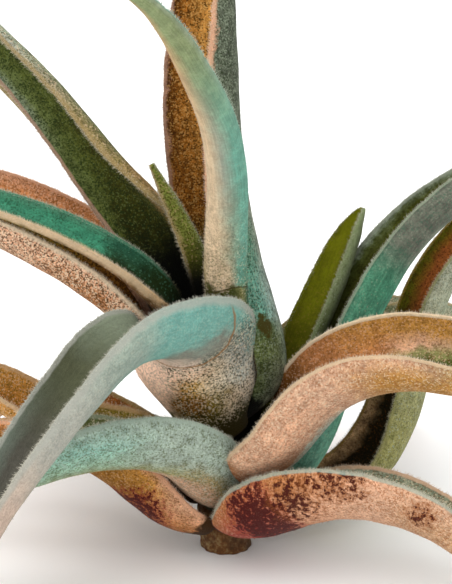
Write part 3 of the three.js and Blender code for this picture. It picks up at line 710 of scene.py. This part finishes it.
def curve_through(points):
    """A smooth curve through the points, with CURVE_STEPS samples for each span."""
    ends = [2 * points[0] - points[1], *points, 2 * points[-1] - points[-2]]
    samples = []
    for a, b, c, d in zip(ends, ends[1:], ends[2:], ends[3:]):
        before, here, after = (math.sqrt(np.linalg.norm(q - p)) for p, q in ((a, b), (b, c), (c, d)))
        leave = here * ((b - a) / before - (c - a) / (before + here) + (c - b) / here)
        arrive = here * ((c - b) / here - (d - b) / (here + after) + (d - c) / after)
        for step in range(CURVE_STEPS):
            s = step / CURVE_STEPS
            h = 2 * s**3 - 3 * s**2
            samples.append((h + 1) * b + (s**3 - 2 * s**2 + s) * leave + (s**3 - s**2) * arrive - h * c)
    samples.append(points[-1])
    return np.array(samples)


def evenly(line, steps):
    """The line at steps + 1 evenly spaced points."""
    travelled = np.r_[0.0, np.cumsum(np.linalg.norm(np.diff(line, axis=0), axis=1))]
    wanted = np.linspace(0.0, travelled[-1], steps + 1)
    return np.stack([np.interp(wanted, travelled, line[:, k]) for k in range(3)], axis=1)


def keel_line(leaf):
    height, azimuth = leaf["root"]
    reach = stem_radius(height) + leaf["thick"][0] / 2 + ROOT_GAP
    foot = stem_centre(height) + outwards(azimuth) * reach
    points = [foot, *(np.array(p, float) for p in leaf["path"])]
    line = evenly(curve_through(points), FINE_STEPS)
    for _ in range(leaf.get("smoothing", SMOOTHING)):
        line[1:-1] = 0.25 * line[:-2] + 0.5 * line[1:-1] + 0.25 * line[2:]
    return evenly(line, FINE_STEPS)


def frames(leaf, line, shares):
    """Place, direction across, and direction of opening at each share of the length."""
    place = shares * FINE_STEPS
    base = np.minimum(np.floor(place).astype(int), FINE_STEPS - 1)
    part = (place - base)[:, None]
    points = blend(line[base], line[base + 1], part)
    slopes = unit(np.gradient(line, axis=0))
    along = unit(blend(slopes[base], slopes[base + 1], part))
    inwards = unit(np.array([0.0, 0.0, 1.0]) - outwards(leaf["root"][1]))
    first, last = (unit(np.array(face, float)) for face in leaf["faces"])
    turn = leaf.get("turn", USUAL_TURN)
    early = blend(inwards, first, ease(shares / turn)[:, None])
    late = blend(first, last, ease((shares - turn) / (1 - turn))[:, None])
    facing = np.where((shares < turn)[:, None], early, late)
    opening = unit(facing - along * np.sum(facing * along, axis=1, keepdims=True))
    return points, np.cross(opening, along), opening


def sections(leaf, shares):
    """Channel radius, half angle and thickness at each share of the length."""
    foot, neck, blade = leaf["radius"]
    neck_at, blade_at = leaf.get("at", USUAL_AT)
    low = blend(foot, neck, ease(shares / neck_at))
    high = blend(neck, blade, ease((shares - neck_at) / (blade_at - neck_at)))
    full = np.where(shares < neck_at, low, high)
    taper = np.maximum(0.0, 1 - shares ** leaf.get("bluntness", USUAL_BLUNTNESS)) ** TAPER_POWER
    radius = full * taper + TIP_RADIUS
    narrow, wide = leaf.get("spread", USUAL_SPREAD)
    spread = np.radians(blend(narrow, wide, ease(shares / blade_at)))
    thick = blend(*leaf["thick"], ease(shares / neck_at))
    thick = thick * (TIP_THICKNESS + (1 - TIP_THICKNESS) * (1 - shares**THINNING_POWER))
    return radius, spread, np.maximum(THINNEST, np.minimum(thick, THICKEST_OF_RADIUS * radius))


def ripple(rng, shares, waves):
    """A smooth uneven line made of a few sine waves, about -1 to 1."""
    total = np.zeros_like(shares)
    for count in waves:
        total += np.sin(2 * math.pi * (count * shares + rng.random())) * rng.uniform(0.5, 1.0)
    return total / len(waves)


def ring_layout():
    """Points round a section: place across, side from 0 outside to 1 inside, and angle over the rim."""
    across = np.linspace(-1.0, 1.0, ACROSS)
    over = np.arange(1, RIM_POINTS + 1) / (RIM_POINTS + 1)
    places = np.r_[across, np.ones(RIM_POINTS), across[::-1], -np.ones(RIM_POINTS)]
    sides = np.r_[np.zeros(ACROSS), over, np.ones(ACROSS), 1 - over]
    return places, sides, math.pi * sides


def leaf_surface(leaf, rng):
    """Rings of points round the leaf, with each ring's share of the length, and each point's place
    across the leaf and side."""
    shares = np.linspace(0.0, 1.0, STATIONS + 1) ** FOOT_CROWDING
    points, across_way, opening = frames(leaf, keel_line(leaf), shares)
    radius, spread, thick = sections(leaf, shares)
    # Rims are rounded, so the faces stop short of the section's corners by half the rim's thickness.
    rim_half = thick * (1 - RIM_THINNING - EDGE_THINNING) / 2
    fade = ease(shares / EVEN_FOOT) * ease((1 - shares) / EVEN_TIP)
    reach = []
    for _ in range(2):
        uneven = RIM_WAVE * ripple(rng, shares, RIM_WAVES) + RIM_NIBBLE * ripple(rng, shares, RIM_NIBBLES)
        reach.append(spread - (rim_half + fade * np.abs(uneven)) / radius)
    wave = FACE_WAVE * fade * ripple(rng, shares, FACE_WAVES)
    places, sides, turns = ring_layout()
    rings = []
    for v, turn in zip(places, turns):
        half = thick * (1 - RIM_THINNING * v**2 - EDGE_THINNING * v**EDGE_POWER) / 2
        angle = v * reach[0 if v < 0 else 1] + math.copysign(math.sin(turn), v) * half / radius
        distance = radius + half * math.cos(turn)
        x = distance * np.sin(angle)
        y = radius - distance * np.cos(angle) + wave * (1 - v * v)
        rings.append(points + across_way * x[:, None] + opening * y[:, None])
    rings = np.stack(rings, axis=1)
    rings[:, :, 2] = np.maximum(rings[:, :, 2], FLOOR_CLEARANCE)
    return rings, shares, places, sides


# Meshes

def make_mesh(name, vertices, faces, attributes, material, smooth=True):
    mesh = bpy.data.meshes.new(name)
    mesh.from_pydata((np.asarray(vertices) * MM).tolist(), [], faces)
    mesh.polygons.foreach_set("use_smooth", [smooth] * len(mesh.polygons))
    for key, values in attributes.items():
        layer = mesh.attributes.new(key, "FLOAT", "POINT")
        layer.data.foreach_set("value", np.asarray(values, np.float32))
    mesh.materials.append(material)
    piece = bpy.data.objects.new(name, mesh)
    bpy.context.scene.collection.objects.link(piece)
    return piece


def make_tube(name, rings, ends, attributes, material):
    """Quads between the rings, and a fan to one more point at each end."""
    count, around = rings.shape[:2]
    foot, tip = count * around, count * around + 1
    last = (count - 1) * around
    faces = []
    for i in range(0, last, around):
        for j in range(around):
            k = (j + 1) % around
            faces.append((i + j, i + k, i + around + k, i + around + j))
    for j in range(around):
        k = (j + 1) % around
        faces.append((k, j, foot))
        faces.append((last + j, last + k, tip))
    return make_mesh(name, np.concatenate([rings.reshape(-1, 3), ends]), faces, attributes, material)


def make_leaf(leaf, surface, material):
    rings, shares, places, sides = surface
    count, around = rings.shape[:2]
    attributes = {
        "along": np.r_[np.repeat(shares, around), 0.0, 1.0],
        "across": np.r_[np.tile(places, count), 0.0, 0.0],
        "side": np.r_[np.tile(sides, count), 0.5, 0.5],
    }
    ends = [rings[0].mean(axis=0), rings[-1].mean(axis=0)]
    return make_tube("felted_" + leaf["node"], rings, ends, attributes, material)


def hair_roots(surface, rng, plenty):
    """Random places on the leaf, crowded at the rims: position, outward way, way along and attributes."""
    rings, shares, places, sides = surface
    ways_along = np.gradient(rings, axis=0)
    ways_round = np.roll(rings, -1, axis=1) - np.roll(rings, 1, axis=1)
    outward = unit(np.cross(ways_round, ways_along))
    side_a = np.roll(rings, -1, axis=1)[:-1] - rings[:-1]
    side_b = rings[1:] - rings[:-1]
    area = np.linalg.norm(np.cross(side_a, side_b), axis=2)
    length = np.linalg.norm(side_b, axis=2).mean(axis=1)
    rim = np.abs(places) > RIM_PROPER
    wanted = area * FACE_HAIRS_PER_MM2
    wanted += np.where(rim, 1.0, 0.0)[None, :] * length[:, None] * 2 * RIM_HAIRS_PER_MM / rim.sum()
    wanted *= ease(shares[:-1] / BALD_FOOT)[:, None] * plenty
    total = int(min(MOST_HAIRS, wanted.sum()))
    chosen = rng.choice(wanted.size, size=total, p=(wanted / wanted.sum()).ravel())
    i, j = np.divmod(chosen, len(places))
    k = (j + 1) % len(places)
    s, t = rng.random((2, total, 1))

    def between(grid):
        low = blend(grid[i, j], grid[i, k], s)
        high = blend(grid[i + 1, j], grid[i + 1, k], s)
        return blend(low, high, t)

    v = blend(places[j], places[k], s[:, 0])
    side = blend(sides[j], sides[k], s[:, 0])
    share = blend(shares[i], shares[i + 1], t[:, 0])
    return between(rings), unit(between(outward)), unit(between(unit(ways_along))), share, v, side


def make_fuzz(leaf, surface, material, rng, plenty):
    """Pointed three-sided hairs standing on the leaf, all in one mesh."""
    place, out, along, share, v, side = hair_roots(surface, rng, plenty)
    total = len(place)
    at_rim = ease((np.abs(v) - RIM_BEGINS) / RIM_BLEND)
    length = blend(rng.uniform(*FACE_HAIR_LENGTH, total), rng.uniform(*RIM_HAIR_LENGTH, total), at_rim)
    lean = along * rng.normal(LEAN_TO_TIP, LEAN_SCATTER, total)[:, None]
    lean += rng.normal(0, LEAN_SCATTER, (total, 3))
    way = unit(out + lean * blend(FACE_HAIR_LEAN, RIM_HAIR_LEAN, at_rim)[:, None])
    first = unit(np.cross(way, along + 0.01))
    second = np.cross(way, first)
    width = HAIR_WIDTH * rng.uniform(*HAIR_WIDTH_RANGE, total) / 2
    turn = rng.random(total) * 2 * math.pi
    corners = []
    for corner in range(3):
        angle = turn + corner * 2 * math.pi / 3
        spoke = first * np.cos(angle)[:, None] + second * np.sin(angle)[:, None]
        corners.append(place - out * HAIR_SINK + spoke * width[:, None])
    vertices = np.stack([*corners, place + way * length[:, None]], axis=1).reshape(-1, 3)
    vertices[:, 2] = np.maximum(vertices[:, 2], FLOOR_CLEARANCE)
    pattern = np.array([[0, 2, 1], [0, 1, 3], [1, 2, 3], [2, 0, 3]])
    faces = (np.arange(total)[:, None, None] * 4 + pattern).reshape(-1, 3)
    attributes = {
        "along": np.repeat(share, 4),
        "across": np.repeat(v, 4),
        "side": np.repeat(side, 4),
        "hair": np.tile([0.0, 0.0, 0.0, 1.0], total),
    }
    return make_mesh("fuzz_" + leaf["node"], vertices, faces.tolist(), attributes, material, smooth=False)


def make_stem(material, rng):
    """A short fibrous stem, ridged along its length and ringed by old leaf scars."""
    angles = np.linspace(0, 2 * math.pi, STEM_SIDES, endpoint=False)
    spokes = np.stack([np.cos(angles), np.sin(angles), np.zeros(STEM_SIDES)], axis=1)
    start = rng.random() * 6
    heights = np.linspace(FLOOR_CLEARANCE, STEM_HEIGHT, STEM_RINGS)
    rings = []
    for height in heights:
        ridge = RIDGE_HEIGHT * np.sin(STEM_RIDGES * angles + start + RIDGE_TWIST * height)
        fibre = rng.normal(0, STEM_FIBRE, STEM_SIDES)
        scar = SCAR_DEPTH * abs(math.sin(math.pi * STEM_SCARS * height / STEM_HEIGHT)) ** 6
        radius = stem_radius(height) - STEM_INSET + np.clip(ridge + fibre - scar, *STEM_RELIEF)
        rings.append(stem_centre(height) + spokes * radius[:, None])
    ends = [stem_centre(heights[0]), stem_centre(heights[-1])]
    return make_tube("fibrous_stem", np.stack(rings), ends, {}, material)


# Materials

def linear(colour):
    """A colour as the linear numbers that shaders use."""
    parts = [int(colour[k:k + 2], 16) / 255 for k in (0, 2, 4)]
    return tuple(c / 12.92 if c < 0.04045 else ((c + 0.055) / 1.055) ** 2.4 for c in parts) + (1.0,)


class Graph:
    """Adds shader nodes to a new material or world, and joins them."""

    def __init__(self, owner):
        self.owner = owner
        owner.use_nodes = True
        self.nodes = owner.node_tree.nodes
        self.links = owner.node_tree.links

    def put(self, socket, value):
        if isinstance(value, bpy.types.NodeSocket):
            self.links.new(value, socket)
        else:
            socket.default_value = value

    def node(self, kind, inputs=(), **settings):
        """A new node, with its inputs given as pairs of a name or number and a value."""
        node = self.nodes.new("ShaderNode" + kind)
        for key, value in settings.items():
            setattr(node, key, value)
        for key, value in dict(inputs).items():
            self.put(node.inputs[key], value)
        return node

    def place(self):
        return self.node("TexCoord").outputs["Object"]

    def attribute(self, name):
        return self.node("Attribute", attribute_name=name).outputs["Fac"]

    def math(self, operation, *values):
        return self.node("Math", enumerate(values), operation=operation).outputs[0]

    def times(self, a, b):
        return self.math("MULTIPLY", a, b)

    def scaled(self, value, factor, shift):
        """value times factor plus shift."""
        return self.math("MULTIPLY_ADD", value, factor, shift)

    def moved(self, value, noise, amount):
        """value shifted by noise, up and down by up to about half of amount."""
        return self.scaled(self.math("SUBTRACT", noise, 0.5), amount, value)

    def step(self, value, low, high, bottom=0.0, top=1.0):
        """Smooth change from bottom to top as value goes from low to high."""
        inputs = {"Value": value, "From Min": low, "From Max": high, "To Min": bottom, "To Max": top}
        return self.node("MapRange", inputs, interpolation_type="SMOOTHSTEP").outputs[0]

    def mix(self, share, a, b, how="MIX"):
        node = self.node("Mix", data_type="RGBA", blend_type=how)
        sockets = [socket for socket in node.inputs if socket.enabled]
        for socket, value in zip(sockets, (share, a, b)):
            self.put(socket, value)
        return next(socket for socket in node.outputs if socket.enabled)

    def ramp(self, value, stops):
        """Colours by value, from colours by place from -1 to 1, or one colour all over."""
        if isinstance(stops, str):
            return linear(stops)
        node = self.node("ValToRGB", {0: self.scaled(value, 0.5, 0.5)})
        band = node.color_ramp.elements
        while len(band) < len(stops):
            band.new(1.0)
        for element, (place, colour) in zip(band, stops.items()):
            element.position = (place + 1) / 2
            element.color = linear(colour)
        return node.outputs[0]

    def noise(self, place, scale, detail=2.0, roughness=0.5):
        inputs = {"Vector": place, "Scale": scale, "Detail": detail, "Roughness": roughness}
        return self.node("TexNoise", inputs).outputs["Fac"]

    def cells(self, place, scale):
        """A random number for each small cell, and the distance from its middle."""
        node = self.node("TexVoronoi", {"Vector": place, "Scale": scale})
        apart = self.node("SeparateColor", {0: node.outputs["Color"]})
        return apart.outputs[0], node.outputs["Distance"]

    def shader(self, **inputs):
        """Sets the surface's inputs, named with _ for each space."""
        surface = next(n for n in self.nodes if n.type == "BSDF_PRINCIPLED")
        for key, value in inputs.items():
            self.put(surface.inputs[key.replace("_", " ")], value)

    def bump(self, height, strength, distance):
        inputs = {"Height": height, "Strength": strength, "Distance": distance * MM}
        self.shader(Normal=self.node("Bump", inputs).outputs["Normal"])


class Felt(Graph):
    """A leaf's felt, painted in layers by the leaf's attributes and by noise."""

    def __init__(self, name, look, hair=False):
        super().__init__(bpy.data.materials.new(name))
        self.look = look
        self.hair = hair
        self.spot = self.place()
        self.patchy = self.noise(self.spot, PATCH_SCALE, 3.0, 0.6)
        self.along = self.attribute("along")
        self.across = self.attribute("across")
        self.side = self.attribute("side")
        self.inside = self.step(self.side, *FACE_CHANGE)
        self.fibre = self.noise(self.unrolled(), FIBRE_SCALE, 4.0, 0.65)
        lot, self.middle = self.cells(self.spot, CELL_SCALE)
        self.lot = self.moved(lot, self.patchy, LOT_WANDER)
        self.crease_depth = 0.0
        self.paint_faces()
        self.shade_faces()
        self.paint_scales()
        self.paint_blotches()
        self.paint_rims()
        if hair:
            tips = self.step(self.side, *FACE_CHANGE, *look.get("tips", USUAL_TIPS))
            self.paint(self.times(self.attribute("hair"), tips), CREAM)
        self.draw_crease_shade()
        self.shade_foot()

    def unrolled(self):
        """A place on the unrolled leaf, for marks that are drawn out along it."""
        ways = ((self.along, STREAK_ALONG), (self.across, STREAK_ACROSS), (self.side, FACES_APART))
        return self.node("CombineXYZ", enumerate(self.times(a, b) for a, b in ways)).outputs[0]

    def by_side(self, outer, inner):
        """outer on the outer face and inner on the inner face."""
        return outer if outer == inner else self.mix(self.inside, outer, inner)

    def paint(self, cover, outer, inner=None):
        """Covers what is painted so far with a colour, or with one for each face."""
        self.colour = self.mix(cover, self.colour, self.by_side(linear(outer), linear(inner or outer)))

    def face(self, rows):
        """Colours across a face, blended from row to row along the leaf."""
        (low, stops), *others = rows.items()
        colour = self.ramp(self.loose_across, stops)
        for high, stops in others:
            row = self.ramp(self.loose_across, stops)
            colour = self.mix(self.step(self.loose_along, low, high), colour, row)
            low = high
        return colour

    def paint_faces(self):
        wiggle = self.noise(self.spot, WIGGLE_SCALE)
        self.loose_along = self.moved(self.along, self.patchy, ROWS_WANDER)
        across = self.moved(self.across, wiggle, STOPS_WANDER)
        self.loose_across = self.moved(across, self.patchy, STOPS_FRAY)
        self.colour = self.by_side(self.face(self.look["outer"]), self.face(self.look["inner"]))

    def shade_faces(self):
        """Cloudy, streaky and grainy light and dark."""
        swing = CLOUD_SWING * self.look.get("streaks", 1.0)
        both = self.math("ADD", self.patchy, self.fibre)
        cloud = self.step(both, *CLOUD_RANGE, CLOUD_LEVEL - swing, CLOUD_LEVEL + swing)
        grit = GRIT * self.look.get("grain", 1.0)
        grain = self.step(self.noise(self.spot, GRAIN_SCALE, 3.0, 0.75), *GRIT_RANGE, -grit, grit)
        if "smooth" in self.look:
            grain = self.times(grain, self.step(self.along, *self.look["smooth"], 1.0, SMOOTH_GRAIN))
        light = self.times(cloud, self.math("ADD", grain, 1.0))
        tone = self.node("CombineColor", enumerate([light] * 3)).outputs[0]
        self.colour = self.mix(1.0, self.colour, tone, "MULTIPLY")

    def paint_scales(self):
        """Fine dark and pale scales."""
        strength = 1.0
        if self.hair:
            strength = SCALES_ON_HAIR
        elif "calm" in self.look:
            strength = self.step(self.along, *self.look["calm"], 1.0, CALM_SCALES)
        strength = self.times(strength, self.look.get("grain", 1.0))
        if "bare" in self.look:
            strength = self.times(strength, self.step(self.loose_across, *self.look["bare"]))
        outer, inner, share = self.look.get("dark", USUAL_DARK)
        dark = self.step(self.lot, share * FULL_SCALES, share, DARK_SCALES, 0.0)
        self.paint(self.times(dark, strength), outer, inner)
        outer, inner, share = self.look.get("pale", USUAL_PALE)
        pale = self.step(self.lot, 1 - share, 1 - share * FULL_SCALES, 0.0, PALE_SCALES)
        self.paint(self.times(pale, strength), outer, inner)

    def paint_blotches(self):
        """Ragged patches with a halo."""
        ragged = self.moved(self.noise(self.spot, BLOTCH_SCALE, 6.0, 0.75), self.lot, BLOTCH_CRUMBS)
        for colour, halo, at, over, length, width, amount in self.look.get("blotches", ()):
            far_along = self.scaled(self.loose_along, 1 / length, -at / length)
            far_across = self.scaled(self.across, 1 / width, -over / width)
            far = self.math("ADD", self.times(far_along, far_along), self.times(far_across, far_across))
            cover = self.moved(self.step(far, 0.0, BLOTCH_FADE, amount, 0.0), ragged, BLOTCH_FRAY)
            cover = self.times(cover, self.step(far, *BLOTCH_END, 1.0, 0.0))
            self.paint(self.step(cover, *HALO_RANGE, 0.0, HALO_COVER), halo)
            self.paint(self.step(cover, *BLOTCH_RANGE, 0.0, BLOTCH_COVER), colour)

    def paint_rims(self):
        """Felt along the rims."""
        start = self.look.get("rim_from", 0.0)
        begun = self.step(self.along, start, start + RIM_START) if start else 1.0
        for sign, (colour, width) in zip((-1.0, 1.0), self.look.get("rims", USUAL_RIMS)):
            edge = self.moved(self.times(self.across, sign), self.patchy, RIM_FRAY * width)
            band = self.step(edge, 1 - RIM_OUTLINE * width, 1 - RIM_FULL * width, 0.0, RIM_COVER)
            self.paint(self.times(band, begun), colour)
            if self.hair:
                tuft = self.step(edge, 1 - TUFT_OUTLINE * width, 1.0, 0.0, TUFT_COVER)
                self.paint(self.times(tuft, begun), WHITE_FUZZ)

    def draw_crease_shade(self):
        """Thin lines of painted shade across the outer face, where a fold shades the leaf, bent towards
        the middle of the leaf.
        """
        for colour, at, low, high, bend in self.look.get("creases", ()):
            middle, half = (low + high) / 2, (high - low) / 2
            over = self.scaled(self.across, 1 / half, -middle / half)
            bow = self.times(over, over)
            along = self.moved(self.along, self.patchy, CREASE_WANDER)
            far = self.math("ABSOLUTE", self.math("SUBTRACT", along, self.scaled(bow, bend, at)))
            line = self.step(far, CREASE_CORE, CREASE_WIDTH, 1.0, 0.0)
            cover = self.times(line, self.step(bow, *CREASE_ENDS, 1.0, 0.0))
            cover = self.times(cover, self.step(self.side, *FACE_CHANGE, 1.0, 0.0))
            # Painted shade along the fold
            self.paint(self.times(cover, CREASE_COVER), colour)
            self.crease_depth = self.scaled(cover, CREASE_DEPTH, self.crease_depth)

    def shade_foot(self):
        """The foot is in the shade of the other leaves."""
        colour, end = self.look.get("foot", USUAL_FOOT)
        loose = self.moved(self.along, self.patchy, FOOT_WANDER)
        self.paint(self.step(loose, end * FOOT_FULL, end, FOOT_COVER, 0.0), colour)


def felt_material(node, look):
    felt = Felt("felt_of_" + node, look)
    height = felt.math("SUBTRACT", felt.times(felt.fibre, FIBRE_RELIEF), felt.middle)
    height = felt.math("SUBTRACT", height, felt.crease_depth)
    felt.shader(Base_Color=felt.colour, Roughness=felt.step(height, -0.4, 0.6, 0.95, 0.7),
                Specular_IOR_Level=FELT_SHINE, Sheen_Weight=0.05, Sheen_Roughness=0.5)
    felt.bump(height, 0.7, 0.12)
    return felt.owner


def fuzz_material(node, look):
    felt = Felt("fuzz_of_" + node, look, hair=True)
    felt.shader(Base_Color=felt.colour, Roughness=0.8, Specular_IOR_Level=FELT_SHINE)
    return felt.owner


def stem_material():
    bark = Graph(bpy.data.materials.new("dry_stem_bark"))
    place = bark.place()
    fibre = bark.noise(place, BARK_SCALE, 4.0, 0.7)
    mottle = bark.noise(place, MOTTLE_SCALE, 3.0)
    stops = {-0.5: DEEP_BROWN, 0: BROWN, 0.5: DULL_TAN}
    colour = bark.ramp(bark.scaled(fibre, 2.0, -1.0), stops)
    colour = bark.mix(bark.step(mottle, 0.45, 0.7, 0.0, 0.6), colour, linear(DEEP_BROWN))
    bark.shader(Base_Color=colour, Roughness=bark.step(fibre, 0.3, 0.7, 0.95, 0.8))
    bark.bump(fibre, 0.9, 0.3)
    return bark.owner


def floor_material():
    floor = Graph(bpy.data.materials.new("plain_pale_floor"))
    shade = floor.step(floor.noise(floor.place(), 3.0), 0.3, 0.7, 0.93, 0.95)
    floor.shader(Base_Color=FLOOR_WHITE, Roughness=shade, Specular_IOR_Level=0.1)
    return floor.owner


# Setting

def make_floor(material):
    corners = [(-1, -1, 0), (1, -1, 0), (1, 1, 0), (-1, 1, 0)]
    vertices = np.array(corners) * FLOOR_REACH
    make_mesh("floor", vertices, [(0, 1, 2, 3)], {}, material, smooth=False)


def set_up(thing, place, target):
    """Puts thing into the scene at place, with its -Z towards target, both in metres."""
    thing.location = place
    thing.rotation_euler = (Vector(target) - Vector(place)).to_track_quat("-Z", "Y").to_euler()
    bpy.context.scene.collection.objects.link(thing)


def add_sun(name, strength, place, spread):
    """A sun that shines from place towards the origin, with soft shadows by its spread in degrees."""
    light = bpy.data.lights.new(name, "SUN")
    light.energy = strength
    light.angle = math.radians(spread)
    set_up(bpy.data.objects.new(name, light), place, (0, 0, 0))


def make_camera():
    camera = bpy.data.cameras.new("camera")
    camera.lens = CAMERA_LENS
    camera.sensor_width = CAMERA_SENSOR
    camera.clip_start = 0.01
    camera.clip_end = 50.0
    viewer = bpy.data.objects.new("camera", camera)
    rise = math.radians(CAMERA_HEIGHT_DEGREES)
    target = np.array(CAMERA_TARGET) * MM
    place = target + CAMERA_DISTANCE * MM * np.array([0, -math.cos(rise), math.sin(rise)])
    set_up(viewer, place.tolist(), target.tolist())
    bpy.context.scene.camera = viewer


def light_scene():
    """A soft white room, brightest overhead, and two broad lamps from the front left."""
    world = bpy.data.worlds.new("soft_white_room")
    room = Graph(world)
    sky = room.nodes["Background"]
    sky.inputs["Color"].default_value = (1.0, 1.0, 1.0, 1.0)
    apart = room.node("SeparateXYZ", {0: room.node("TexCoord").outputs["Generated"]})
    inputs = {"Value": apart.outputs["Z"], "To Min": HORIZON_LIGHT, "To Max": OVERHEAD_LIGHT}
    room.put(sky.inputs["Strength"], room.node("MapRange", inputs).outputs[0])
    bpy.context.scene.world = world
    add_sun("soft_sun", SUN_LIGHT, SUN_FROM, SUN_SPREAD)
    add_sun("side_fill", FILL_LIGHT, FILL_FROM, FILL_SPREAD)
    bpy.context.scene.view_settings.view_transform = "Standard"


# The plant

def plenty_of(node):
    """Back leaves, which the camera doesn't see, get fewer hairs."""
    return BACK_LEAF_HAIRS if node.startswith("leaf_back") else 1.0


make_camera()
light_scene()
make_floor(floor_material())

for number, leaf in enumerate(LEAVES):
    node = leaf["node"]
    look = LOOKS[node]
    rng = np.random.default_rng(HAIR_SEED + number)
    surface = leaf_surface(leaf, rng)
    piece = make_leaf(leaf, surface, felt_material(node, look))
    fuzz = make_fuzz(leaf, surface, fuzz_material(node, look), rng, plenty_of(node))
    for thing in (piece, fuzz):
        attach(thing, "root")
    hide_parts(node)

stem = make_stem(stem_material(), np.random.default_rng(HAIR_SEED - 1))
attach(stem, "root")
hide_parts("stem")
